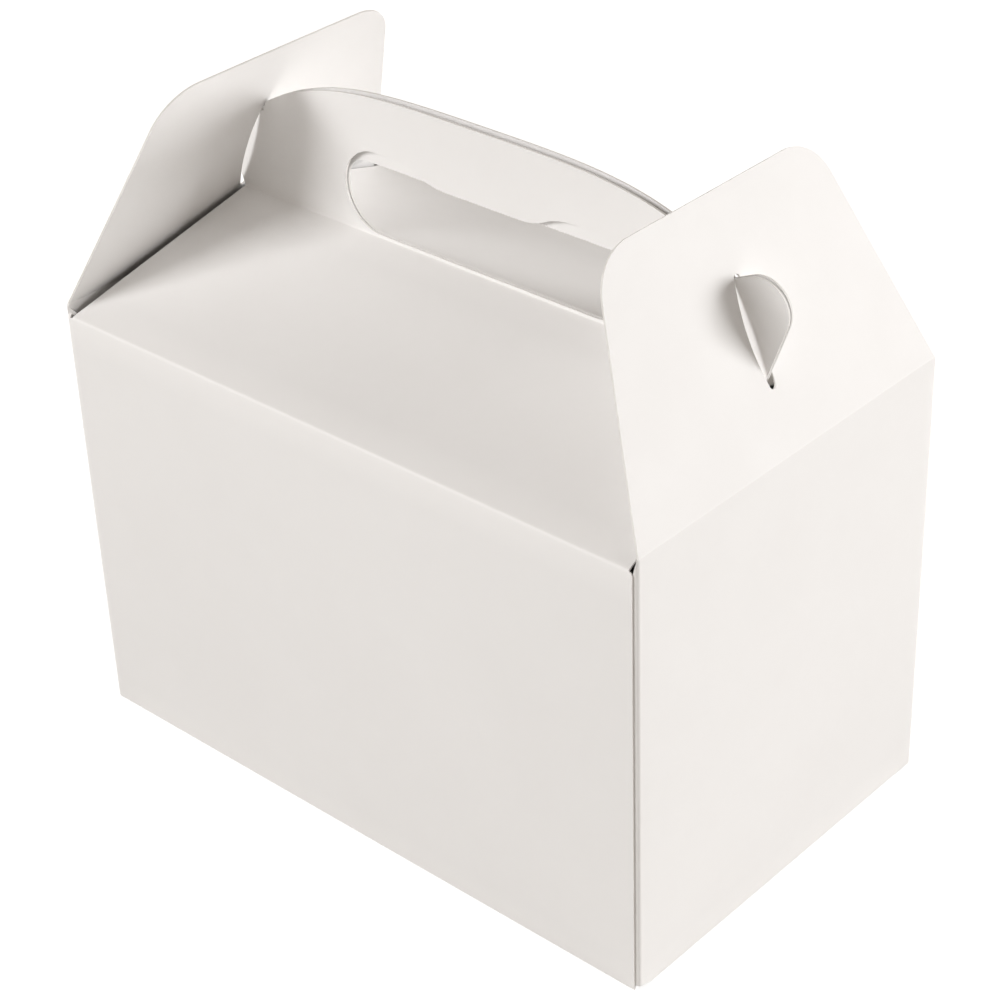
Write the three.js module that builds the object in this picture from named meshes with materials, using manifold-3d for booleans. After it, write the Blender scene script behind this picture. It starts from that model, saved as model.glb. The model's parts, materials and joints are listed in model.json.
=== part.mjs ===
// A party box of white card with a gable top and a carry handle, as it stands made up and closed.
// The carton is one folded and glued sheet: four walls, a lock base, two sloping roof panels and
// the two handle panels that stand back to back on the ridge. The end flaps belong to the same
// sheet and swing on the folds at the tops of the end walls. Each flap leans in over the roof, and
// the slot in it holds the ear at that end of the handle.
// Millimetres, +Z up. X runs along the box and Y across it. The origin is the middle of its base.

import * as THREE from 'three';
import { mergeVertices } from 'three/addons/utils/BufferGeometryUtils.js';
import Module from 'manifold-3d';

const manifoldLibrary = await Module();
manifoldLibrary.setup();

// Board and body
const boxLength = 155;
const boxWidth = 95;
const wallHeight = 103;
const board = 0.45;
const foldInnerRadius = 0.4;
const layerGap = 0.3;

// Roof panels: how far their folds lie below the tops of the end walls, how far the ridge stands
// above those tops, and how far the panels' ends keep off the end walls and the leaning end flaps
const eaveDrop = 2.6;
const ridgeRise = 12;
const roofGapAtEave = 0.5;
const roofGapAtRidge = 1.4;

// End flaps: the lean is from upright, towards the roof, and the side angle is each side's slope
const flapHeight = 52.2;
const flapLeanDegrees = 24.5;
const flapSideAngleDegrees = 15.9;
const flapSideInset = 0.8;
const flapCornerRadius = 11.6;
const flapFoldGap = 0.3;

// Handle panels: heights are from the ridge up. The top of the hand hole comes down a little in
// the middle of the front panel, and lies at that lower level all along the back panel.
const handleHeight = 32.5;
const handlePanelGap = 0.2;
const gripHoleLength = 77;
const gripHoleHeight = 18.9;
const gripHoleLift = 0.6;
const gripDip = 3.3;
const gripDipHalfLength = 24;
const gripDipSlope = 14;
const gripBackCorner = 5.5;
const archShoulderLead = 18;
const archCrownLead = 28;

// Ears: places are measured along an end flap from its fold, and straight out from its face
const earCentreAlong = 28.9;
const earRadius = 6.4;
const earReach = 10.3;
const shoulderReach = 2.7;
const shoulderGap = 0.35;
const shoulderRadius = 1.2;

// Slot in each end flap: its back edge is straight, and its front edge bellies out
const slotPlay = 0.35;
const slotTail = 2.4;
const slotHeadroom = 0.5;
const slotBelly = 1.3;

// Glue seam at the near right corner
const seamFlapWidth = 14;
const seamFlapSlant = 4;
const seamSetback = 0.95;
const seamGroove = 0.35;

// Lock base: two short end flaps lie lowest, two long flaps over them, and a hook of each long
// flap over the edge of the other
const baseRampLength = 5;
const baseEndFlapDepth = 38;
const baseEndFlapNarrowEnd = 20;
const baseFlapSideInset = 1.2;
const baseMiddleGap = 0.3;
const baseHookStart = 10;
const baseHookLength = 42;
const baseHookReach = 13;
const baseHookSlant = 5;

// Derived sizes
const flapLean = THREE.MathUtils.degToRad(flapLeanDegrees);
const flapSideSlope = Math.tan(THREE.MathUtils.degToRad(flapSideAngleDegrees));
const foldRadius = foldInnerRadius + board;
const halfLength = boxLength / 2;
const halfWidth = boxWidth / 2;
const longWallEnd = halfLength - foldRadius;
const handleHalf = handlePanelGap / 2 + board;
const eaveHeight = wallHeight - eaveDrop;
const roofSlope = (ridgeRise + eaveDrop) / (halfWidth - handleHalf);
const roofAngle = Math.atan(roofSlope);
const flapSlant = board / Math.cos(flapLean);
const roofInsetAtEave = board + roofGapAtEave;
const roofInsetAtRidge = ridgeRise * Math.tan(flapLean) + flapSlant + roofGapAtRidge;
const baseLayer = board + layerGap;
const cutMargin = 1;
const arcSteps = 8;

const xAxis = new THREE.Vector3(1, 0, 0);
const yAxis = new THREE.Vector3(0, 1, 0);
const zAxis = new THREE.Vector3(0, 0, 1);

// Solids and outlines

function toSolid(geometry) {
  const bare = geometry.clone();
  bare.deleteAttribute('normal');
  bare.deleteAttribute('uv');
  const merged = mergeVertices(bare, 1e-5);
  return new manifoldLibrary.Manifold(new manifoldLibrary.Mesh({
    numProp: 3,
    vertProperties: merged.attributes.position.array,
    triVerts: new Uint32Array(merged.index.array),
  }));
}

function toGeometry(solid) {
  const mesh = solid.getMesh();
  const geometry = new THREE.BufferGeometry();
  geometry.setAttribute('position', new THREE.BufferAttribute(mesh.vertProperties, 3));
  geometry.setIndex(new THREE.BufferAttribute(mesh.triVerts, 1));
  geometry.computeVertexNormals();
  return geometry;
}

// A flat sheet of the outline, drawn in the plane of the two axes and thickened along their cross
// product from the origin given.
function sheet(outline, thickness, across, up, origin) {
  const through = new THREE.Vector3().crossVectors(across, up);
  const placing = new THREE.Matrix4().makeBasis(across, up, through).setPosition(origin);
  const options = { depth: thickness, bevelEnabled: false, curveSegments: arcSteps };
  return toSolid(new THREE.ExtrudeGeometry(outline, options).applyMatrix4(placing));
}

// A sheet standing across the box whose section is drawn in Y and Z, from x = start to x = end.
function lengthwiseBar(section, start, end) {
  return sheet(section, end - start, yAxis, zAxis, new THREE.Vector3(start, 0, 0));
}

// A block whose plan is drawn in X and Y, from z = bottom to z = top.
function planBlock(plan, bottom, top) {
  return sheet(plan, top - bottom, xAxis, yAxis, new THREE.Vector3(0, 0, bottom));
}

function polygon(points) {
  return new THREE.Shape(points.map(([across, up]) => new THREE.Vector2(across, up)));
}

// A polygon whose corners may each have a radius as a third number.
function roundedPolygon(corners) {
  const points = [];
  corners.forEach(([across, up, radius = 0], index) => {
    const corner = new THREE.Vector2(across, up);
    const [beforeAcross, beforeUp] = corners.at(index - 1);
    const [afterAcross, afterUp] = corners[(index + 1) % corners.length];
    const back = new THREE.Vector2(beforeAcross, beforeUp).sub(corner).normalize();
    const ahead = new THREE.Vector2(afterAcross, afterUp).sub(corner).normalize();
    points.push(...(radius > 0 ? roundedCorner(corner, back, ahead, radius) : [corner]));
  });
  return new THREE.Shape(points);
}

// The arc that rounds a corner between two directions that lead away from it.
function roundedCorner(corner, back, ahead, radius) {
  const halfAngle = Math.acos(back.dot(ahead)) / 2;
  const inward = back.clone().add(ahead).normalize();
  const centre = corner.clone().addScaledVector(inward, radius / Math.sin(halfAngle));
  const start = corner.clone().addScaledVector(back, radius / Math.tan(halfAngle)).sub(centre);
  const turn = (Math.PI - 2 * halfAngle) * Math.sign(start.cross(inward.clone().negate()));
  const points = [];
  for (let step = 0; step <= arcSteps; step += 1) {
    const spoke = start.clone().rotateAround(new THREE.Vector2(), turn * step / arcSteps);
    points.push(spoke.add(centre));
  }
  return points;
}

// What is trimmed off a sharp fold to round it, as an outline.
function foldTrim(corner, back, ahead) {
  const arc = roundedCorner(corner, back, ahead, foldRadius);
  const outward = back.clone().add(ahead).normalize().multiplyScalar(-cutMargin);
  const beyondEnd = arc.at(-1).clone().add(outward);
  const beyondCorner = corner.clone().addScaledVector(outward, 2);
  const beyondStart = arc[0].clone().add(outward);
  return new THREE.Shape([...arc, beyondEnd, beyondCorner, beyondStart]);
}

function joined(solids) {
  return solids.reduce((whole, solid) => whole.add(solid));
}

// Flap frame: a point along a leaning end flap from its fold, and out from its face, becomes a
// distance in from the end of the box and a height above the walls.
function fromFlap(along, out) {
  return new THREE.Vector2(
    along * Math.sin(flapLean) - out * Math.cos(flapLean),
    along * Math.cos(flapLean) + out * Math.sin(flapLean),
  );
}

// Where the edge from the ridge's end up to the ear leaves the ridge, and where it touches the
// ear's round, both in the flap frame
const ridgeEnd = new THREE.Vector2(
  roofInsetAtRidge * Math.sin(flapLean) + ridgeRise * Math.cos(flapLean),
  ridgeRise * Math.sin(flapLean) - roofInsetAtRidge * Math.cos(flapLean),
);
const earCentre = new THREE.Vector2(earCentreAlong, earReach - earRadius);
const toEar = earCentre.clone().sub(ridgeEnd);
const earEdgeAngle = toEar.angle() + Math.asin(earRadius / toEar.length());
const earEdgeLength = Math.sqrt(toEar.lengthSq() - earRadius ** 2);
const earTangent = new THREE.Vector2(
  ridgeEnd.x + earEdgeLength * Math.cos(earEdgeAngle),
  ridgeEnd.y + earEdgeLength * Math.sin(earEdgeAngle),
);

// The slot takes in all of the ear's swing about the flap's fold
const neckAlong = ridgeEnd.x - (ridgeEnd.y + board) / Math.tan(earEdgeAngle);
const slotStart = neckAlong - slotTail;
const slotEnd = earCentre.length() + earRadius + slotHeadroom;

// Carton: sleeve of four walls

function roundedRectangle(outline, halfX, halfY, radius) {
  outline.moveTo(halfX, -halfY + radius);
  outline.absarc(halfX - radius, halfY - radius, radius, 0, Math.PI / 2);
  outline.absarc(radius - halfX, halfY - radius, radius, Math.PI / 2, Math.PI);
  outline.absarc(radius - halfX, radius - halfY, radius, Math.PI, 1.5 * Math.PI);
  outline.absarc(halfX - radius, radius - halfY, radius, 1.5 * Math.PI, 2 * Math.PI);
  return outline;
}

function makeSleeve() {
  const ring = roundedRectangle(new THREE.Shape(), halfLength, halfWidth, foldRadius);
  const inside = new THREE.Path();
  roundedRectangle(inside, halfLength - board, halfWidth - board, foldInnerRadius);
  ring.holes.push(inside);
  const grooveEnd = halfLength - seamSetback;
  const groove = polygon([
    [grooveEnd - seamGroove, -halfWidth - cutMargin],
    [grooveEnd, -halfWidth - cutMargin],
    [grooveEnd, board - halfWidth],
    [grooveEnd - seamGroove, board - halfWidth],
  ]);
  const groovePart = planBlock(groove, -cutMargin, wallHeight + cutMargin);
  const aboveEaves = polygon([
    [-longWallEnd, -halfWidth - cutMargin],
    [longWallEnd, -halfWidth - cutMargin],
    [longWallEnd, halfWidth + cutMargin],
    [-longWallEnd, halfWidth + cutMargin],
  ]);
  const lowered = planBlock(aboveEaves, eaveHeight, wallHeight + cutMargin);
  return planBlock(ring, 0, wallHeight).subtract(groovePart).subtract(lowered);
}

// The glue flap runs on from the right end wall and lies inside the front wall.
function makeSeamFlap() {
  const foldX = halfLength - board;
  const outline = polygon([
    [foldX, baseLayer * 3],
    [foldX, eaveHeight - board * 3],
    [foldX - seamFlapWidth, eaveHeight - board * 3 - seamFlapSlant],
    [foldX - seamFlapWidth, baseLayer * 3 + seamFlapSlant],
  ]);
  return sheet(outline, board, xAxis, zAxis, new THREE.Vector3(0, board * 2 - halfWidth, 0));
}

// Carton: roof panels. Side is -1 at the front and 1 at the back.

function makeRoofPanel(side) {
  const drop = board / Math.cos(roofAngle);
  const innerY = handlePanelGap / 2;
  const innerTop = (halfWidth - innerY) * roofSlope;
  const section = polygon([
    [side * halfWidth, eaveHeight],
    [side * handleHalf, wallHeight + ridgeRise],
    [side * innerY, wallHeight + ridgeRise],
    [side * innerY, eaveHeight + innerTop - drop],
    [side * halfWidth, eaveHeight - drop],
  ]);
  const plan = polygon([
    [roofInsetAtEave - halfLength, side * halfWidth],
    [halfLength - roofInsetAtEave, side * halfWidth],
    [halfLength - roofInsetAtRidge, side * handleHalf],
    [halfLength - roofInsetAtRidge, 0],
    [roofInsetAtRidge - halfLength, 0],
    [roofInsetAtRidge - halfLength, side * handleHalf],
  ]);
  const outline = planBlock(plan, eaveHeight - cutMargin, wallHeight + ridgeRise + cutMargin);
  return lengthwiseBar(section, -halfLength, halfLength).intersect(outline);
}

// Carton: handle panels

// The left half of a handle panel's edge, from the ridge over the ear and the shoulder to the
// middle of the arch, as x and z.
function handleHalfEdge() {
  const place = (point) => new THREE.Vector2(point.x - halfLength, point.y + wallHeight);
  const edge = [place(new THREE.Vector2(roofInsetAtRidge, ridgeRise - board / 2))];
  const startAngle = earTangent.clone().sub(earCentre).angle();
  for (let step = 0; step <= arcSteps; step += 1) {
    const angle = startAngle * (1 - step / arcSteps);
    const along = earCentre.x + earRadius * Math.cos(angle);
    const out = earCentre.y + earRadius * Math.sin(angle);
    edge.push(place(fromFlap(along, out)));
  }
  const behindFlap = -board - shoulderGap;
  const earTop = earCentreAlong + earRadius;
  const notch = place(fromFlap(earTop, behindFlap));
  const shoulder = place(fromFlap(earTop + shoulderReach, behindFlap));
  const crown = new THREE.Vector2(0, wallHeight + ridgeRise + handleHeight);
  const lead = new THREE.Vector2(shoulder.x + archShoulderLead, crown.y);
  const back = notch.clone().sub(shoulder).normalize();
  const ahead = lead.clone().sub(shoulder).normalize();
  const round = roundedCorner(shoulder, back, ahead, shoulderRadius);
  const arch = new THREE.CubicBezierCurve(
    round.at(-1),
    lead,
    new THREE.Vector2(-archCrownLead, crown.y),
    crown,
  );
  edge.push(notch, ...round, ...arch.getPoints(2 * arcSteps).slice(1));
  return edge;
}

// The hand hole: round ends, and the two forms of its top edge.
function gripHole(side) {
  const radius = gripHoleHeight / 2;
  const end = gripHoleLength / 2;
  const bottom = wallHeight + ridgeRise + gripHoleLift;
  const top = bottom + gripHoleHeight;
  const dipTop = top - gripDip;
  if (side > 0) {
    return roundedPolygon([
      [-end, bottom, radius],
      [end, bottom, radius],
      [end, dipTop, gripBackCorner],
      [-end, dipTop, gripBackCorner],
    ]);
  }
  const dipMiddle = gripDipHalfLength - gripDipSlope / 2;
  const dipFlat = gripDipHalfLength - gripDipSlope;
  const hole = new THREE.Path();
  hole.absarc(end - radius, bottom + radius, radius, -Math.PI / 2, Math.PI / 2);
  hole.lineTo(gripDipHalfLength, top);
  hole.bezierCurveTo(dipMiddle, top, dipMiddle, dipTop, dipFlat, dipTop);
  hole.lineTo(-dipFlat, dipTop);
  hole.bezierCurveTo(-dipMiddle, dipTop, -dipMiddle, top, -gripDipHalfLength, top);
  hole.absarc(radius - end, bottom + radius, radius, Math.PI / 2, 1.5 * Math.PI);
  return hole;
}

function makeHandlePanel(side) {
  const leftHalf = handleHalfEdge();
  const rightHalf = leftHalf.slice(0, -1).reverse();
  const mirrored = rightHalf.map((point) => new THREE.Vector2(-point.x, point.y));
  const outline = new THREE.Shape([...leftHalf, ...mirrored]);
  outline.holes.push(gripHole(side));
  const startY = side < 0 ? -handlePanelGap / 2 : handleHalf;
  return sheet(outline, board, xAxis, zAxis, new THREE.Vector3(0, startY, 0));
}

// Carton: lock base. Side is -1 for the front long flap and the left end flap.

function makeLongBaseFlap(side) {
  const section = polygon([
    [side * halfWidth, 0],
    [side * (halfWidth - baseRampLength), baseLayer],
    [0, baseLayer],
    [0, baseLayer + board],
    [side * (halfWidth - baseRampLength), baseLayer + board],
    [side * halfWidth, board],
  ]);
  const endX = halfLength - board - baseFlapSideInset;
  const hookEnd = baseHookStart + baseHookLength;
  const edgeY = side * baseMiddleGap / 2;
  const rampY = edgeY + side * baseRampLength;
  const plan = polygon([
    [-side * endX, side * halfWidth],
    [-side * endX, edgeY],
    [side * baseHookStart, edgeY],
    [side * baseHookStart, rampY],
    [side * hookEnd, rampY],
    [side * hookEnd, edgeY],
    [side * endX, edgeY],
    [side * endX, side * halfWidth],
  ]);
  const flat = lengthwiseBar(section, -halfLength, halfLength);
  const hookTip = -side * baseHookReach;
  const hookSection = polygon([
    [rampY, baseLayer],
    [edgeY, baseLayer * 2],
    [hookTip, baseLayer * 2],
    [hookTip, baseLayer * 2 + board],
    [edgeY, baseLayer * 2 + board],
    [rampY, baseLayer + board],
  ]);
  const hookPlan = polygon([
    [side * baseHookStart, rampY + side],
    [side * hookEnd, rampY + side],
    [side * hookEnd, edgeY],
    [side * (hookEnd - baseHookSlant), hookTip],
    [side * (baseHookStart + baseHookSlant), hookTip],
    [side * baseHookStart, edgeY],
  ]);
  const hookBar = lengthwiseBar(hookSection, -halfLength, halfLength);
  return flat.intersect(planBlock(plan, -cutMargin, baseLayer * 3))
    .add(hookBar.intersect(planBlock(hookPlan, -cutMargin, baseLayer * 4)));
}

// An end flap's one side is cut on a slant, and the other follows the long flap that it is glued to.
function makeEndBaseFlap(side) {
  const rootY = halfWidth - baseRampLength - layerGap;
  const tipX = halfLength - baseEndFlapDepth;
  const plan = polygon([
    [side * halfLength, side * rootY],
    [side * tipX, side * rootY],
    [side * tipX, side * (rootY - baseEndFlapNarrowEnd)],
    [side * halfLength, -side * rootY],
  ]);
  return planBlock(plan, 0, board);
}

function makeCarton() {
  const pieces = [makeSleeve(), makeSeamFlap()];
  for (const side of [-1, 1]) {
    pieces.push(makeRoofPanel(side), makeHandlePanel(side));
    pieces.push(makeLongBaseFlap(side), makeEndBaseFlap(side));
  }
  let carton = joined(pieces);
  const rampAngle = Math.atan(baseLayer / baseRampLength);
  const wallDown = new THREE.Vector2(0, -1);
  const wallUp = new THREE.Vector2(0, 1);
  for (const side of [-1, 1]) {
    const eave = new THREE.Vector2(side * halfWidth, eaveHeight);
    const upRoof = new THREE.Vector2(-side * Math.cos(roofAngle), Math.sin(roofAngle));
    const baseEdge = new THREE.Vector2(side * halfWidth, 0);
    const upRamp = new THREE.Vector2(-side * Math.cos(rampAngle), Math.sin(rampAngle));
    const endEdge = new THREE.Vector2(side * halfLength, 0);
    const inwards = new THREE.Vector2(-side, 0);
    const farX = halfLength + cutMargin;
    const farY = new THREE.Vector3(0, halfWidth + cutMargin, 0);
    carton = carton
      .subtract(lengthwiseBar(foldTrim(eave, wallDown, upRoof), -longWallEnd, longWallEnd))
      .subtract(lengthwiseBar(foldTrim(baseEdge, wallUp, upRamp), -farX, farX))
      .subtract(sheet(foldTrim(endEdge, wallUp, inwards), 2 * farY.y, xAxis, zAxis, farY));
  }
  return toGeometry(carton);
}

// End flaps, drawn flat with the fold along Y at height 0

function slotOutline(side) {
  const halfSlot = handleHalf + slotPlay;
  const slot = new THREE.Path();
  slot.moveTo(halfSlot, slotStart + halfSlot);
  slot.lineTo(halfSlot, slotEnd - halfSlot);
  slot.absarc(0, slotEnd - halfSlot, halfSlot, 0, Math.PI);
  const run = slotEnd - slotStart - 2 * halfSlot;
  slot.bezierCurveTo(
    -halfSlot - slotBelly * 4 / 3,
    slotStart + halfSlot + run * 2 / 3,
    -halfSlot - slotBelly * 4 / 3,
    slotStart + halfSlot + run / 3,
    -halfSlot,
    slotStart + halfSlot,
  );
  slot.absarc(0, slotStart + halfSlot, halfSlot, Math.PI, 2 * Math.PI);
  return new THREE.Path(slot.getPoints(arcSteps).map((point) => {
    return new THREE.Vector2(side * point.x, point.y);
  }));
}

function makeEndFlap(side) {
  const root = (flapFoldGap + board * Math.sin(flapLean)) / Math.cos(flapLean);
  const halfAt = (along) => halfWidth - flapSideInset - along * flapSideSlope;
  const outline = roundedPolygon([
    [-halfAt(root), root],
    [halfAt(root), root],
    [halfAt(flapHeight), flapHeight, flapCornerRadius],
    [-halfAt(flapHeight), flapHeight, flapCornerRadius],
  ]);
  outline.holes.push(slotOutline(side));
  const options = { depth: board, bevelEnabled: false, curveSegments: arcSteps };
  const flat = new THREE.ExtrudeGeometry(outline, options);
  return toGeometry(toSolid(flat.translate(0, 0, -board)));
}

// The flap's drawn plane is stood up and leaned in over its end of the box. The left flap faces the
// other way, so its slot is drawn the other way round to keep the belly in front.
function placeEndFlap(mesh, side) {
  const across = new THREE.Vector3(0, side, 0);
  const up = new THREE.Vector3(-side * Math.sin(flapLean), 0, Math.cos(flapLean));
  const out = new THREE.Vector3().crossVectors(across, up);
  const placing = new THREE.Matrix4().makeBasis(across, up, out);
  mesh.quaternion.setFromRotationMatrix(placing);
  mesh.position.set(side * halfLength, 0, wallHeight);
}

// White card, coated outside
const cardWhite = new THREE.MeshStandardMaterial({ color: 0xf1edea, roughness: 0.62, metalness: 0 });
const flapWhite = new THREE.MeshStandardMaterial({ color: 0xf5f2ef, roughness: 0.62, metalness: 0 });

const partyBox = new THREE.Group();

const carton = new THREE.Mesh(makeCarton(), cardWhite);
carton.name = 'carton';
partyBox.add(carton);

for (const [name, side] of [['end_flap_right', 1], ['end_flap_left', -1]]) {
  const flap = new THREE.Mesh(makeEndFlap(side), flapWhite);
  flap.name = name;
  placeEndFlap(flap, side);
  partyBox.add(flap);
}

export default partyBox;
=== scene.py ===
import json
import math

import bpy
from mathutils import Matrix, Vector
from mathutils.geometry import delaunay_2d_cdt


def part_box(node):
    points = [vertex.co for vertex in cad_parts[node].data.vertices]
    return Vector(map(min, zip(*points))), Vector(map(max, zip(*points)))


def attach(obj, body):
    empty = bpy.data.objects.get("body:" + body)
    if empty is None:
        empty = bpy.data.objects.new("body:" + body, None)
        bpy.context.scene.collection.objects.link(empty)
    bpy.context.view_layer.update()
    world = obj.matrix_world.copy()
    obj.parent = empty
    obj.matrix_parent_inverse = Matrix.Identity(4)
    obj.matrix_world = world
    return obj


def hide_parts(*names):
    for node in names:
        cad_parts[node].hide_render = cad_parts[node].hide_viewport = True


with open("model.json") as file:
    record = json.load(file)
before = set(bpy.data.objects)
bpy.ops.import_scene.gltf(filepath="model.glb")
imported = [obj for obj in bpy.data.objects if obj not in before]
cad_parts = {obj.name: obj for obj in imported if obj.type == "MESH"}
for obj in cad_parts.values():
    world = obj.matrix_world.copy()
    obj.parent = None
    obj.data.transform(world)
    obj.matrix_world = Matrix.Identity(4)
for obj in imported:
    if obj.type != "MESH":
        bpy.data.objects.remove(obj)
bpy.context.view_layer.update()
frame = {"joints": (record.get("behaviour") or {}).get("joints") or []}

# The view: the box stands with its near right corner towards the viewer, seen from above the
# level of its handle through a long lens, a little out of level as a hand-held camera is.
mm = 0.001
view_azimuth = math.radians(42.875)
view_elevation = math.radians(32.476)
view_roll = math.radians(-2.185)
view_distance = 552.6 * mm
view_target = Vector((1.2, 0, 62.04)) * mm
lens_length = 93.43
lens_frame = 36

camera_data = bpy.data.cameras.new("camera")
camera_data.lens = lens_length
camera_data.sensor_width = lens_frame
camera_data.clip_start = 0.01
camera = bpy.data.objects.new("camera", camera_data)
bpy.context.scene.collection.objects.link(camera)
towards_camera = Vector((
    math.sin(view_azimuth) * math.cos(view_elevation),
    -math.cos(view_azimuth) * math.cos(view_elevation),
    math.sin(view_elevation),
))
level = Vector((math.cos(view_azimuth), math.sin(view_azimuth), 0))
turned = Matrix.Rotation(view_roll, 3, towards_camera)
camera_right = turned @ level
camera_up = towards_camera.cross(camera_right)
axes = Matrix((camera_right, camera_up, towards_camera)).transposed()
camera.matrix_world = Matrix.Translation(view_target + towards_camera * view_distance) @ axes.to_4x4()
bpy.context.scene.camera = camera


# The carton: one die-cut sheet of white folding boxboard, 0.45 mm thick. It is creased, wrapped
# round into four walls and glued at the near right corner, and its roof, handle and base panels
# are folded in from the same sheet.
board = 0.45 * mm
fold_radius = 0.4 * mm + board / 2
carton_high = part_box("carton")[1]
half_length = carton_high.x
half_width = carton_high.y
wall_height = frame["joints"][0]["pos_m"][2]
eave_drop = 2.6 * mm
eave_height = wall_height - eave_drop
ridge_rise = 12 * mm
ridge_height = wall_height + ridge_rise
handle_top = carton_high.z
handle_gap = 0.2 * mm
seam_setback = 0.95 * mm
layer_gap = 0.3 * mm
base_layer = board + layer_gap
base_ramp = 5 * mm
glue_flap_width = 14 * mm
sharp_angle = math.radians(38)


def fold_line(corners, radius):
    """The middle of a folded strip as its runs and bends: length, start, heading and turn."""
    points = [Vector(corner) for corner in corners]
    here = points[0]
    pieces = []
    for corner, after in zip(points[1:], points[2:] + [None]):
        ahead = (corner - here).normalized()
        heading = math.atan2(ahead.y, ahead.x)
        if after is None:
            pieces.append(((corner - here).length, here, heading, 0))
            return pieces
        onward = (after - corner).normalized()
        turn = math.atan2(ahead.cross(onward), ahead.dot(onward))
        cut = radius * math.tan(abs(turn) / 2)
        pieces.append(((corner - here).length - cut, here, heading, 0))
        pieces.append((radius * abs(turn), corner - ahead * cut, heading, turn))
        here = corner + onward * cut


def along_line(pieces, distance):
    """The point on a folded strip's middle at a distance from its start, and its heading there."""
    for length, start, heading, turn in pieces:
        if distance <= length:
            break
        distance -= length
    else:
        distance += length
    if turn == 0:
        return start + distance * Vector((math.cos(heading), math.sin(heading))), heading
    radius = length / turn
    centre = start + radius * Vector((-math.sin(heading), math.cos(heading)))
    heading += turn * distance / length
    return centre + radius * Vector((math.sin(heading), -math.cos(heading))), heading


def start_of(pieces, index):
    return sum(piece[0] for piece in pieces[:index])


def reach(pieces, run, axis, value):
    """How far along the strip one of its straight runs meets a value of one coordinate."""
    length, start, heading, turn = pieces[run]
    step = (math.cos(heading), math.sin(heading))[axis]
    return start_of(pieces, run) + (value - start[axis]) / step


def arc(centre, radius, start, end, steps):
    """Points on an arc, from one angle in degrees to another."""
    angles = [math.radians(start + (end - start) * step / steps) for step in range(steps + 1)]
    return [Vector(centre) + radius * Vector((math.cos(a), math.sin(a))) for a in angles]


def spaced(start, end, step):
    count = max(2, math.ceil(abs(end - start) / step))
    return [start + (end - start) * index / count for index in range(count + 1)]


def bezier(start, first, second, end, steps):
    """Points on a cubic curve after its start."""
    points = []
    for step in range(1, steps + 1):
        t = step / steps
        s = 1 - t
        points.append(s**3 * start + 3 * s * s * t * first + 3 * s * t * t * second + t**3 * end)
    return points


def round_corner(before, corner, after, radius, steps=6):
    """The arc that rounds a corner of an outline."""
    before, corner, after = Vector(before), Vector(corner), Vector(after)
    back = (before - corner).normalized()
    ahead = (after - corner).normalized()
    half = math.acos(max(-1, min(1, back.dot(ahead)))) / 2
    centre = corner + (back + ahead).normalized() * radius / math.sin(half)
    spoke = corner + back * radius / math.tan(half) - centre
    turn = (math.pi - 2 * half) * (1 if spoke.cross(corner - centre) > 0 else -1)
    points = []
    for step in range(steps + 1):
        angle = turn * step / steps
        turned_spoke = Vector((
            spoke.x * math.cos(angle) - spoke.y * math.sin(angle),
            spoke.x * math.sin(angle) + spoke.y * math.cos(angle),
        ))
        points.append(centre + turned_spoke)
    return points


def is_inside(point, loop):
    inside = False
    for (x1, y1), (x2, y2) in zip(loop, loop[1:] + loop[:1]):
        if (y1 > point[1]) != (y2 > point[1]):
            if point[0] < x1 + (point[1] - y1) * (x2 - x1) / (y2 - y1):
                inside = not inside
    return inside


def sheet_piece(name, outline, holes, guides, place, materials):
    """A closed sheet of board: the flat blank is cut up along its guide lines, then placed."""
    points = []
    edges = []
    for loop in [outline, *holes]:
        first = len(points)
        points.extend(Vector(point) / mm for point in loop)
        count = len(loop)
        edges.extend((first + index, first + (index + 1) % count) for index in range(count))
    for start, end in guides:
        edges.append((len(points), len(points) + 1))
        points.extend((Vector(start) / mm, Vector(end) / mm))
    flat, _, cells, _, _, _ = delaunay_2d_cdt(points, edges, [], 0, 1e-3)
    flat = [point * mm for point in flat]
    faces = []
    for cell in cells:
        middle = sum((flat[index] for index in cell), Vector((0, 0))) / len(cell)
        if is_inside(middle, [tuple(p) for p in outline]):
            if not any(is_inside(middle, [tuple(p) for p in hole]) for hole in holes):
                faces.append(list(cell))
    used = sorted({index for face in faces for index in face})
    renumbered = {index: number for number, index in enumerate(used)}
    faces = [[renumbered[index] for index in face] for face in faces]
    placed = [place(*flat[index]) for index in used]
    count = len(used)
    outer = [point + normal * board / 2 for point, normal, _ in placed]
    inner = [point - normal * board / 2 for point, normal, _ in placed]
    a, b, c = (placed[index][0] for index in faces[0][:3])
    if (b - a).cross(c - a).dot(placed[faces[0][0]][1]) < 0:
        faces = [face[::-1] for face in faces]
    sides = {}
    for face in faces:
        for start, end in zip(face, face[1:] + face[:1]):
            sides[(start, end)] = True
    rims = [(start, end) for start, end in sides if (end, start) not in sides]
    all_faces = list(faces)
    all_faces += [[index + count for index in reversed(face)] for face in faces]
    all_faces += [[end, start, start + count, end + count] for start, end in rims]
    mesh = bpy.data.meshes.new(name)
    mesh.from_pydata([tuple(point) for point in outer + inner], [], all_faces)
    for material in materials:
        mesh.materials.append(material)
    for index, polygon in enumerate(mesh.polygons):
        polygon.use_smooth = True
        polygon.material_index = 1 if index >= 2 * len(faces) else 0
    # painted highlight: how strongly each point's colour is lightened near a fold
    crease = mesh.attributes.new("crease", "FLOAT", "POINT")
    crease.data.foreach_set("value", [highlight_weight for _, _, highlight_weight in placed] * 2)
    mesh.update()
    mesh.set_sharp_from_angle(angle=sharp_angle)
    piece = bpy.data.objects.new(name, mesh)
    bpy.context.scene.collection.objects.link(piece)
    return piece
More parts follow.
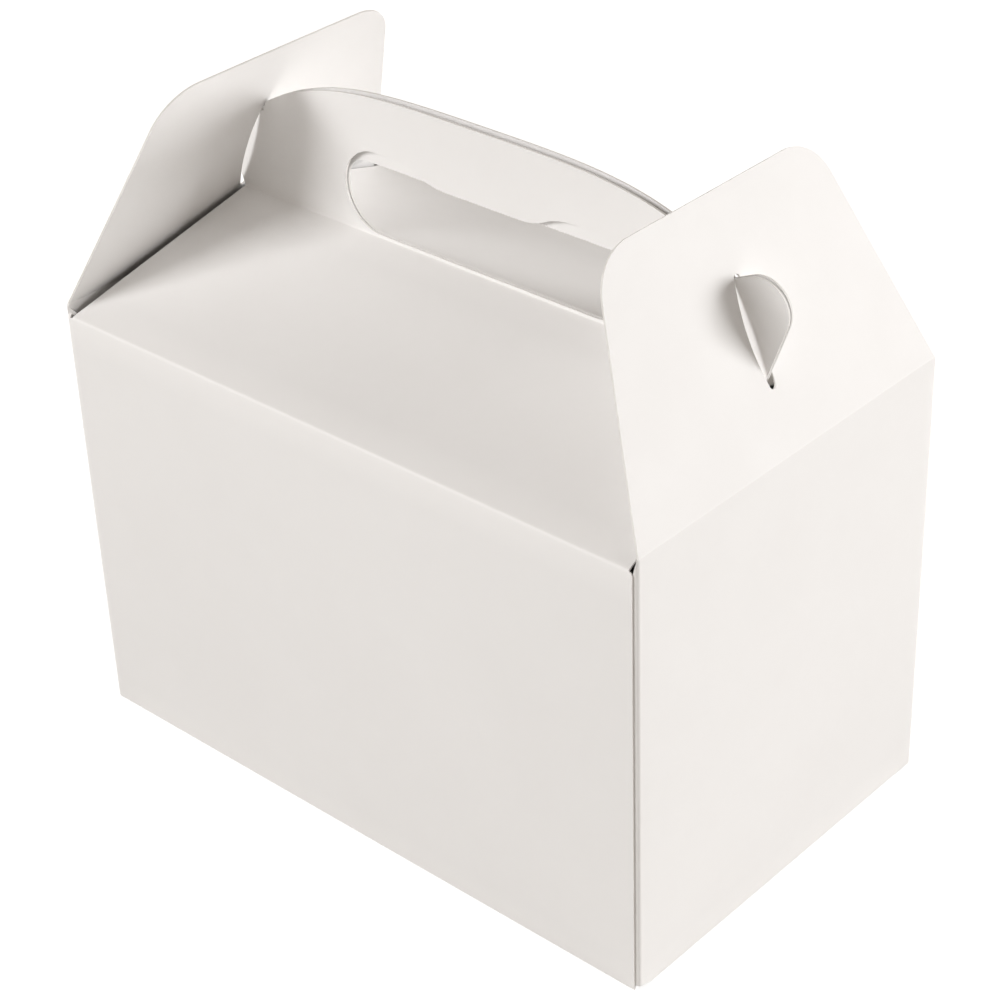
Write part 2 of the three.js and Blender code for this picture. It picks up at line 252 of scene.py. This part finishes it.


# White coated boxboard: a smooth clay coat over bleached pulp, nearly matt. The pulp shows as a
# faint cloudiness and a very fine tooth, and a painted highlight lightens the colour along the creases.
def new_node_group(name, inputs, outputs):
    group = bpy.data.node_groups.new(name, "ShaderNodeTree")
    for socket_name, kind, value in inputs:
        socket = group.interface.new_socket(socket_name, in_out="INPUT", socket_type=kind)
        socket.default_value = value
    for socket_name, kind in outputs:
        group.interface.new_socket(socket_name, in_out="OUTPUT", socket_type=kind)
    return group, group.nodes.new("NodeGroupInput"), group.nodes.new("NodeGroupOutput")


def add_node(tree, kind, **settings):
    node = tree.nodes.new(kind)
    for key, value in settings.items():
        setattr(node, key, value)
    return node


def make_pulp_group():
    group, given, result = new_node_group(
        "pulp_board",
        [
            ("Pale", "NodeSocketColor", (0.94, 0.925, 0.91, 1)),
            ("Cloud", "NodeSocketColor", (0.92, 0.905, 0.89, 1)),
            ("Tooth", "NodeSocketFloat", 900),
        ],
        [("Color", "NodeSocketColor"), ("Roughness", "NodeSocketFloat"), ("Height", "NodeSocketFloat")],
    )
    place = add_node(group, "ShaderNodeTexCoord")
    cloud = add_node(group, "ShaderNodeTexNoise")
    cloud.inputs["Scale"].default_value = 34
    cloud.inputs["Detail"].default_value = 5
    cloud.inputs["Roughness"].default_value = 0.62
    soft = add_node(group, "ShaderNodeMapRange")
    soft.inputs["From Min"].default_value = 0.34
    soft.inputs["From Max"].default_value = 0.66
    mix = add_node(group, "ShaderNodeMix", data_type="RGBA")
    tooth = add_node(group, "ShaderNodeTexNoise")
    tooth.inputs["Detail"].default_value = 3
    tooth.inputs["Roughness"].default_value = 0.7
    fibre_scale = add_node(group, "ShaderNodeMapping")
    fibre_scale.inputs["Scale"].default_value = (1, 1, 0.35)
    fibre = add_node(group, "ShaderNodeTexVoronoi", feature="F1")
    fibre.inputs["Scale"].default_value = 420
    height = add_node(group, "ShaderNodeMath", operation="MULTIPLY_ADD")
    height.inputs[1].default_value = 0.35
    rough = add_node(group, "ShaderNodeMapRange")
    rough.inputs["To Min"].default_value = 0.5
    rough.inputs["To Max"].default_value = 0.68
    link = group.links.new
    link(place.outputs["Object"], cloud.inputs["Vector"])
    link(place.outputs["Object"], tooth.inputs["Vector"])
    link(place.outputs["Object"], fibre_scale.inputs["Vector"])
    link(fibre_scale.outputs["Vector"], fibre.inputs["Vector"])
    link(given.outputs["Tooth"], tooth.inputs["Scale"])
    link(cloud.outputs["Fac"], soft.inputs["Value"])
    link(soft.outputs["Result"], mix.inputs["Factor"])
    link(given.outputs["Pale"], mix.inputs["A"])
    link(given.outputs["Cloud"], mix.inputs["B"])
    link(fibre.outputs["Distance"], height.inputs[0])
    link(tooth.outputs["Fac"], height.inputs[2])
    link(cloud.outputs["Fac"], rough.inputs["Value"])
    link(mix.outputs["Result"], result.inputs["Color"])
    link(rough.outputs["Result"], result.inputs["Roughness"])
    link(height.outputs["Value"], result.inputs["Height"])
    return group


pulp_board = make_pulp_group()


def board_material(name, pale, cloud, tooth, bump, specular):
    """A finish of the board: the pulp's look, with a painted highlight mixed in along the creases."""
    material = bpy.data.materials.new(name)
    material.use_nodes = True
    tree = material.node_tree
    shader = tree.nodes["Principled BSDF"]
    shader.inputs["Specular IOR Level"].default_value = specular
    pulp = add_node(tree, "ShaderNodeGroup", node_tree=pulp_board)
    pulp.inputs["Pale"].default_value = (*pale, 1)
    pulp.inputs["Cloud"].default_value = (*cloud, 1)
    pulp.inputs["Tooth"].default_value = tooth
    crease = add_node(tree, "ShaderNodeAttribute", attribute_name="crease")
    # painted highlight: near the folds the colour is lightened towards this pale tone
    painted_crease_highlight = add_node(tree, "ShaderNodeMix", data_type="RGBA")
    painted_crease_highlight.inputs["B"].default_value = (0.985, 0.975, 0.965, 1)
    relief = add_node(tree, "ShaderNodeBump")
    relief.inputs["Strength"].default_value = bump
    relief.inputs["Distance"].default_value = 0.05 * mm
    link = tree.links.new
    link(crease.outputs["Fac"], painted_crease_highlight.inputs["Factor"])
    link(pulp.outputs["Color"], painted_crease_highlight.inputs["A"])
    link(painted_crease_highlight.outputs["Result"], shader.inputs["Base Color"])
    link(pulp.outputs["Roughness"], shader.inputs["Roughness"])
    link(pulp.outputs["Height"], relief.inputs["Height"])
    link(relief.outputs["Normal"], shader.inputs["Normal"])
    return material


coated_card = board_material("coated_card", (0.93, 0.922, 0.914), (0.915, 0.906, 0.897), 900, 0.25, 0.35)
cut_edge = board_material("cut_edge", (0.9, 0.885, 0.865), (0.8, 0.785, 0.76), 2400, 0.6, 0.2)

# The walls in plan, from the front wall's raw edge at the near right corner round to the glue
# flap, which lies behind that edge
middle_x = half_length - board / 2
middle_y = half_width - board / 2
glue_flap_end = half_length - board - glue_flap_width
raw_edge = half_length - seam_setback
ring = fold_line([
    (raw_edge, -middle_y),
    (-middle_x, -middle_y),
    (-middle_x, middle_y),
    (middle_x, middle_y),
    (middle_x, board - middle_y),
    (glue_flap_end, board - middle_y),
], fold_radius)


def front(x):
    return start_of(ring, 0) + raw_edge - x


def left_end(y):
    return start_of(ring, 2) + y - ring[2][1].y


def back(x):
    return start_of(ring, 4) + x - ring[4][1].x


def right_end(y):
    return start_of(ring, 6) + ring[6][1].y - y


def glue_flap(x):
    return start_of(ring, 8) + ring[8][1].x - x


# The panels in section, from half way up a wall: depth in from the wall's middle, and height
half_up = wall_height / 2
ridge_depth = half_width - board - handle_gap / 2
roof_angle = math.atan2(ridge_height - eave_height, ridge_depth)
under_roof = board / 2 / math.cos(roof_angle)
ramp_angle = math.atan2(base_layer, base_ramp)
over_ramp = board / 2 / math.cos(ramp_angle)
roof_line = fold_line([
    (0, half_up),
    (0, eave_height - under_roof + board / 2 * math.tan(roof_angle)),
    (ridge_depth, ridge_height - under_roof + board / 2 * math.tan(roof_angle)),
    (ridge_depth, handle_top + board),
], fold_radius)
end_wall_line = fold_line([(0, half_up), (0, wall_height + board)], fold_radius)
flat_level = base_layer + board / 2
hook_level = 2 * base_layer + board / 2
hook_root = middle_y - base_ramp
beyond_middle = 20 * mm
past_middle = middle_y + beyond_middle
base_corner = (0, over_ramp + board / 2 * math.tan(ramp_angle))
base_line = fold_line(
    [(0, half_up), base_corner, (base_ramp - board / 2, flat_level), (past_middle, flat_level)],
    fold_radius,
)
hook_line = fold_line(
    [
        (0, half_up),
        base_corner,
        (base_ramp - board / 2, flat_level),
        (hook_root, flat_level),
        (middle_y, hook_level),
        (past_middle, hook_level),
    ],
    fold_radius,
)
end_base_line = fold_line([(0, half_up), (0, board / 2), (middle_x, board / 2)], fold_radius)
wall_bow = 0.55 * mm
roof_bow = 0.3 * mm
handle_spread = 0.85 * mm
end_spread = 0.25
ridge_margin = 2 * mm
# painted highlight: how far from a fold's middle its colour is still lightened
crease_reach = 1.1 * mm
least_crease_turn = 0.5
hook_start = 10 * mm
hook_length = 42 * mm
hook_end = hook_start + hook_length

# Each wall, and last the glue flap: its run in the plan, where its middle lies, its half length,
# and the sections that it follows upwards and downwards
glue_run = 8
walls = [
    (0, front(0), half_length, roof_line, base_line),
    (2, left_end(0), half_width, end_wall_line, end_base_line),
    (4, back(0), half_length, roof_line, base_line),
    (6, right_end(0), half_width, end_wall_line, end_base_line),
    (glue_run, glue_flap(0), half_length, end_wall_line, base_line),
]


def on_hook(index, across):
    """Whether a point of a long wall's base flap is on its hook."""
    lead = across if index == 0 else -across
    return hook_start < lead < hook_end


def crease_at(pieces, distance):
    """How near a point is to the middle of a fold, from 0 to 1."""
    nearest = 0
    for index, (length, _, _, turn) in enumerate(pieces):
        if abs(turn) > least_crease_turn:
            middle = start_of(pieces, index) + length / 2
            nearest = max(nearest, 1 - abs(distance - middle) / crease_reach)
    return max(0, nearest)


def place_carton(u, v):
    """Where a point of the flat carton blank lies once it is folded, with the way it faces."""
    spot, heading = along_line(ring, u)
    inward = Vector((math.sin(heading), -math.cos(heading), 0))
    index, centre, half, upward, downward = min(
        walls, key=lambda wall: abs(u - wall[1]) - wall[2]
    )
    if index in (0, 4) and v < 0 and on_hook(index, (centre - u) if index == 0 else (u - centre)):
        downward = hook_line
    line = upward if v >= 0 else downward
    (depth, height), tilt = along_line(line, abs(v))
    flip = 1 if v >= 0 else -1
    normal = inward * -math.sin(tilt) * flip + Vector((0, 0, math.cos(tilt) * flip))
    point = Vector((spot.x, spot.y, 0)) + inward * depth + Vector((0, 0, height))
    # painted highlight along the folds, strongest at each fold's middle
    highlight_weight = max(crease_at(ring, u) if abs(depth) < fold_radius else 0, crease_at(line, abs(v)))
    side = max(0, 1 - ((u - centre) / half) ** 2)
    top = eave_height if index in (0, 4) else wall_height
    if depth < fold_radius and index != glue_run:
        rise = max(0, 1 - ((height - top / 2) / (top / 2)) ** 2)
        point += normal * wall_bow * side * rise
    elif v > 0 and height < ridge_height - ridge_margin:
        part = depth / ridge_depth
        point += normal * roof_bow * side * max(0, 4 * part * (1 - part))
    elif v > 0:
        lift = max(0, (height - ridge_height) / (handle_top - ridge_height))
        point += normal * handle_spread * lift**1.5 * (end_spread + (1 - end_spread) * side)
    return point, normal, highlight_weight


# The outline of the roof and handle, drawn as x and z of the standing box: each end of the
# handle runs out into an ear, is notched for the end flap, and rounds into the arch of the grip
lean = math.radians(24.5)
flap_slant = board / math.cos(lean)
ridge_gap = 1.4 * mm
ridge_inset = ridge_rise * math.tan(lean) + flap_slant + ridge_gap
eave_gap = 0.9 * mm
eave_inset = seam_setback + eave_gap
ear_along = 28.9 * mm
ear_reach = 10.3 * mm
ear_radius = 6.4 * mm
ear_centre = Vector((ear_along, ear_reach - ear_radius))
shoulder_reach = 2.7 * mm
shoulder_gap = 0.35 * mm
shoulder_radius = 1.2 * mm
behind_flap = board + shoulder_gap
arch_shoulder_lead = 18 * mm
arch_crown_lead = 28 * mm


def from_flap(along, out):
    """A place on an end flap, along it and out from its face, as a distance in from the end of
    the box and a height."""
    return Vector((
        along * math.sin(lean) - out * math.cos(lean),
        wall_height + along * math.cos(lean) + out * math.sin(lean),
    ))


def handle_end():
    """The handle's edge from the ridge over the ear and shoulder to the top of the arch, at the
    end of positive x."""
    ridge_end = Vector((
        ridge_inset * math.sin(lean) + ridge_rise * math.cos(lean),
        ridge_rise * math.sin(lean) - ridge_inset * math.cos(lean),
    ))
    to_ear = ear_centre - ridge_end
    edge_angle = math.atan2(to_ear.y, to_ear.x) + math.asin(ear_radius / to_ear.length)
    edge_length = math.sqrt(to_ear.length_squared - ear_radius**2)
    touch = ridge_end + edge_length * Vector((math.cos(edge_angle), math.sin(edge_angle)))
    start = math.degrees(math.atan2(touch.y - ear_centre.y, touch.x - ear_centre.x))
    points = [from_flap(*point) for point in arc(ear_centre, ear_radius, start, 0, 18)]
    top = ear_centre.x + ear_radius
    notch = from_flap(top, -behind_flap)
    shoulder = from_flap(top + shoulder_reach, -behind_flap)
    crown = Vector((half_length, handle_top))
    lead = Vector((shoulder.x + arch_shoulder_lead, handle_top))
    rounded = round_corner(notch, shoulder, lead, shoulder_radius)
    arch = bezier(rounded[-1], lead, crown - Vector((arch_crown_lead, 0)), crown, 28)
    return [Vector((half_length - point.x, point.y)) for point in [*points, notch, *rounded, *arch]]


grip_half = 38.5 * mm
grip_radius = 9.45 * mm
grip_height = ridge_height + 0.6 * mm + grip_radius
grip_dip = 3.3 * mm
dip_half = 24 * mm
dip_slope = 14 * mm
back_grip_corner = 5.5 * mm

# The handle is the fifth part of the roof's section, after the wall, its fold, the roof and the
# ridge's fold
ridge_up = start_of(roof_line, 4)
handle_from = roof_line[4][1].y


def on_handle(along, height):
    return Vector((along, ridge_up + height - handle_from))


eave_up = start_of(roof_line, 2) - roof_line[1][0] / 2
wall_up = wall_height - half_up
right_half = handle_end()
left_half = [Vector((-point.x, point.y)) for point in reversed(right_half[:-1])]
arch_points = [*right_half, *left_half]
roof_end = half_length - eave_inset
ridge_end_x = half_length - ridge_inset
relief = 1.2 * mm
corner_drop = 0.2 * mm
roof_step = 0.1 * mm
raw_corner_radius = 0.9 * mm
raw_corner = (front(raw_edge), eave_up)
roof_corner = (front(roof_end), eave_up)
front_top = [
    *round_corner((front(raw_edge), 0), raw_corner, roof_corner, raw_corner_radius),
    (front(roof_end), eave_up + roof_step),
    (front(ridge_end_x), ridge_up),
    *[on_handle(front(point.x), point.y) for point in arch_points],
    (front(-ridge_end_x), ridge_up),
    (front(-roof_end), eave_up),
    (front(-half_length + relief), eave_up - corner_drop),
]
back_top = [
    (back(-half_length + relief), eave_up - corner_drop),
    (back(-roof_end), eave_up),
    (back(-ridge_end_x), ridge_up),
    *[on_handle(back(point.x), point.y) for point in reversed(arch_points)],
    (back(ridge_end_x), ridge_up),
    (back(roof_end), eave_up),
    (back(half_length - relief), eave_up - corner_drop),
]
end_side_inset = 0.8 * mm
end_half = half_width - end_side_inset
left_top = [(left_end(-end_half), wall_up), (left_end(end_half), wall_up)]
right_top = [(right_end(end_half), wall_up), (right_end(-end_half), wall_up)]
glue_slant = 4 * mm
glue_top = [
    (glue_flap(half_length - relief), eave_up - 3 * board),
    (glue_flap(glue_flap_end), eave_up - 3 * board - glue_slant),
]

# The outline of the lock base: two long flaps with a hook each, and two short end flaps
base_down = -start_of(base_line, 1) - base_line[1][0] / 2
end_base_down = -start_of(end_base_line, 1) - end_base_line[1][0] / 2
hook_reach = 13 * mm
hook_shoulder = 1 * mm
edge_down = -reach(base_line, 4, 0, middle_y - layer_gap / 2)
notch_down = -reach(base_line, 4, 0, hook_root)
hook_tip_down = -reach(hook_line, 8, 0, middle_y + hook_reach)
hook_edge_down = -reach(hook_line, 8, 0, middle_y + hook_shoulder)
base_side_inset = 1.2 * mm
flap_end = half_length - board - base_side_inset
slit = 0.15 * mm
hook_slant = 5 * mm
end_flap_depth = 38 * mm
end_flap_slant = 20 * mm


def long_base_flap(across):
    """A long wall's base flap, from the end beside its hook to the other."""
    return [
        (across(flap_end), base_down),
        (across(flap_end), edge_down),
        (across(hook_end + slit), edge_down),
        (across(hook_end + slit), notch_down),
        (across(hook_end - slit), notch_down),
        (across(hook_end - slit), hook_edge_down),
        (across(hook_end - hook_slant), hook_tip_down),
        (across(hook_start + hook_slant), hook_tip_down),
        (across(hook_start + slit), hook_edge_down),
        (across(hook_start + slit), notch_down),
        (across(hook_start - slit), notch_down),
        (across(hook_start - slit), edge_down),
        (across(-flap_end), edge_down),
        (across(-flap_end), base_down),
    ]


def end_base_flap(across):
    """An end wall's base flap, from the side that is cut on a slant."""
    root = half_width - base_ramp - layer_gap
    tip_down = -reach(end_base_line, 2, 0, end_flap_depth - board / 2)
    return [
        (across(-root), end_base_down),
        (across(root - end_flap_slant), tip_down),
        (across(root), tip_down),
        (across(root), end_base_down),
    ]


front_base = long_base_flap(front)
left_base = end_base_flap(lambda y: left_end(-y))
back_base = long_base_flap(lambda x: back(-x))
right_base = end_base_flap(right_end)
glue_base = [
    (glue_flap(half_length - relief), base_down + 3 * board),
    (glue_flap(glue_flap_end), base_down + 3 * board + glue_slant),
]
upper_edge = [*front_top, *left_top, *back_top, *right_top, *glue_top]
lower_edge = [*front_base, *left_base[::-1], *back_base, *right_base[::-1], *glue_base]
corner_foot = [(front(raw_edge), base_down)]
blank_outline = [*corner_foot, *upper_edge, *reversed(lower_edge)]


def front_grip_half():
    """Half of the front panel's hand hole: a round end, and a top edge that comes down a little
    in the middle."""
    high = Vector((dip_half, grip_height + grip_radius))
    low = Vector((dip_half - dip_slope, high.y - grip_dip))
    middle = (high.x + low.x) / 2
    slope = bezier(high, Vector((middle, high.y)), Vector((middle, low.y)), low, 10)
    return [*arc((grip_half - grip_radius, grip_height), grip_radius, -90, 90, 24), high, *slope]


def back_grip_half():
    """Half of the back panel's hand hole, whose top edge is low all along and so closes the
    view past the front panel's."""
    corner = (grip_half - back_grip_corner, grip_height + grip_radius - grip_dip - back_grip_corner)
    return [
        *arc((grip_half - grip_radius, grip_height), grip_radius, -90, 0, 12),
        *arc(corner, back_grip_corner, 0, 90, 10),
    ]


def grip_hole(half, across):
    other = [Vector((-point.x, point.y)) for point in reversed(half)]
    return [on_handle(across(point.x), point.y) for point in [*half, *other]]


row_step = 7 * mm
fold_steps = 6


def rows_of(pieces, start, end, sign, last):
    """Guide lines across a strip: a few in each fold, and wider ones between."""
    lines = []
    for index, (length, _, _, turn) in enumerate(pieces):
        from_start = start_of(pieces, index)
        if turn:
            steps = [length * part / fold_steps for part in range(fold_steps + 1)]
        else:
            steps = spaced(0, length, row_step)[1:-1]
        lines.extend(from_start + step for step in steps if from_start + step < last)
    return [((start, sign * line), (end, sign * line)) for line in lines]


past = 1 * mm
column_step = 8 * mm
first_column = 2 * mm
guides = []
for across in (front, back):
    low, high = sorted((across(-half_length), across(half_length)))
    guides += rows_of(roof_line, low, high, 1, ridge_up + handle_top - handle_from)
    guides += rows_of(hook_line, low, high, -1, -hook_tip_down)
    for x in spaced(-half_length + first_column, half_length - first_column, column_step):
        guides.append(((across(x), hook_tip_down - past), (across(x), ridge_up + handle_top)))
for across in (left_end, right_end):
    low, high = sorted((across(-half_width), across(half_width)))
    guides += rows_of(end_wall_line, low, high, 1, wall_up)
    guides += rows_of(end_base_line, low, high, -1, -hook_tip_down)
    for y in spaced(-half_width + first_column, half_width - first_column, column_step):
        guides.append(((across(y), -start_of(end_base_line, 3)), (across(y), wall_up + past)))
for index in (1, 3, 5, 7):
    for part in range(fold_steps + 1):
        line = start_of(ring, index) + ring[index][0] * part / fold_steps
        guides.append(((line, base_down - past), (line, wall_up + past)))

grip_holes = [grip_hole(front_grip_half(), front), grip_hole(back_grip_half(), back)]
carton_sheet = sheet_piece(
    "carton_sheet", blank_outline, grip_holes, guides, place_carton, [coated_card, cut_edge]
)
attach(carton_sheet, "carton")
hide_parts("carton")

# The end flaps: part of the same sheet, folded in over the roof from the tops of the end walls.
# Each has round top corners and a slot with a straight back edge and a bellied front edge, and
# the ears of both handle panels stand out through it.
flap_height = 52.2 * mm
flap_side_slope = math.tan(math.radians(15.9))
flap_corner = 11.6 * mm
slot_play = 0.35 * mm
slot_half = handle_gap / 2 + board + slot_play
slot_belly = 1.3 * mm
slot_start = 13 * mm
slot_headroom = 0.5 * mm
slot_end = ear_centre.length + ear_radius + slot_headroom
flap_curl = 0.35 * mm
edge_curl_loss = 0.6
# painted highlight along the flap's root fold, fading out above it
root_highlight = 0.4
root_highlight_fall = 1.2 * mm
flap_guide_step = 4 * mm
root_rows = [0.25 * mm, 0.5 * mm, 0.9 * mm]


def flap_outline():
    def half_at(along):
        return end_half - along * flap_side_slope

    root = [(-half_at(0), 0), (half_at(0), 0)]
    top_right = (half_at(flap_height), flap_height)
    top_left = (-half_at(flap_height), flap_height)
    return [
        *root,
        *round_corner(root[1], top_right, top_left, flap_corner, 20),
        *round_corner(top_right, top_left, root[0], flap_corner, 20),
    ]


def flap_slot(side):
    low = slot_start + slot_half
    high = slot_end - slot_half
    belly = -slot_half - slot_belly * 4 / 3
    points = [
        *arc((0, high), slot_half, 0, 180, 12),
        *bezier(
            Vector((-slot_half, high)),
            Vector((belly, high - (high - low) / 3)),
            Vector((belly, low + (high - low) / 3)),
            Vector((-slot_half, low)),
            20,
        ),
        *arc((0, low), slot_half, 180, 360, 12)[1:],
    ]
    return [(side * point.x, point.y) for point in points]


def place_flap(side):
    across = Vector((0, side, 0))
    up = Vector((-side * math.sin(lean), 0, math.cos(lean)))
    out = across.cross(up)
    hinge = Vector((side * half_length, 0, wall_height))

    def place(u, v):
        bow = flap_curl * (v / flap_height) ** 2 * (1 - edge_curl_loss * (u / half_width) ** 2)
        point = hinge + across * u + up * v + out * (bow - board / 2)
        return point, out, max(0, root_highlight - v / root_highlight_fall)

    return place


flap_rows = [*root_rows, *spaced(2 * mm, flap_height, flap_guide_step)]
flap_columns = spaced(-half_width, half_width, flap_guide_step)[1:-1]
flap_guides = [((-half_width, row), (half_width, row)) for row in flap_rows]
flap_guides += [((column, 0), (column, flap_height)) for column in flap_columns]
for side, name, body in (
    (1, "right_flap_sheet", "end_flap_right"),
    (-1, "left_flap_sheet", "end_flap_left"),
):
    flap = sheet_piece(
        name, flap_outline(), [flap_slot(side)], flap_guides, place_flap(side), [coated_card, cut_edge]
    )
    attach(flap, body)
    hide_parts(body)

# The studio: a plain white floor that runs out of view, dim warm light all round, a broad lamp in
# front on the left, a broader one low behind on the right, and a weak one overhead.
floor_half = 6
floor_white = 0.62
floor_glow = 0.75
floor_material = bpy.data.materials.new("studio_floor")
floor_material.use_nodes = True
floor_tree = floor_material.node_tree
floor_shader = floor_tree.nodes["Principled BSDF"]
floor_shader.inputs["Base Color"].default_value = (floor_white, floor_white * 0.985, floor_white * 0.96, 1)
floor_shader.inputs["Roughness"].default_value = 0.9
floor_shader.inputs["Emission Color"].default_value = (1, 1, 1, 1)
seen = add_node(floor_tree, "ShaderNodeLightPath")
glow = add_node(floor_tree, "ShaderNodeMath", operation="MULTIPLY")
glow.inputs[1].default_value = floor_glow
floor_tree.links.new(seen.outputs["Is Camera Ray"], glow.inputs[0])
floor_tree.links.new(glow.outputs["Value"], floor_shader.inputs["Emission Strength"])
floor_mesh = bpy.data.meshes.new("studio_floor")
floor_corners = [
    (-floor_half, -floor_half, 0),
    (floor_half, -floor_half, 0),
    (floor_half, floor_half, 0),
    (-floor_half, floor_half, 0),
]
floor_mesh.from_pydata(floor_corners, [], [(0, 1, 2, 3)])
floor_mesh.materials.append(floor_material)
floor = bpy.data.objects.new("studio_floor", floor_mesh)
bpy.context.scene.collection.objects.link(floor)

world = bpy.data.worlds.new("studio")
world.use_nodes = True
world_light = world.node_tree.nodes["Background"]
world_light.inputs["Color"].default_value = (1, 0.89, 0.78, 1)
world_light.inputs["Strength"].default_value = 0.245
bpy.context.scene.world = world
bpy.context.scene.view_settings.view_transform = "Standard"


def soft_lamp(name, azimuth, elevation, distance, size, power, color):
    """A square lamp that faces the box from a direction: azimuth 0 is the front, 90 the right."""
    data = bpy.data.lights.new(name, "AREA")
    data.size = size
    data.energy = power
    data.color = color
    lamp = bpy.data.objects.new(name, data)
    bpy.context.scene.collection.objects.link(lamp)
    azimuth, elevation = math.radians(azimuth), math.radians(elevation)
    direction = Vector((
        math.sin(azimuth) * math.cos(elevation),
        -math.cos(azimuth) * math.cos(elevation),
        math.sin(elevation),
    ))
    lamp.location = direction * distance
    lamp.rotation_euler = direction.to_track_quat("Z", "Y").to_euler()


soft_lamp("lamp_front_left", -28, 28, 2.0, 0.8, 23.6, (1, 0.995, 0.995))
soft_lamp("lamp_back_right", 127, 16, 2.0, 1, 29.8, (1, 0.995, 0.995))
soft_lamp("lamp_above", 110, 70, 2.0, 1.2, 3.4, (1, 0.995, 0.995))
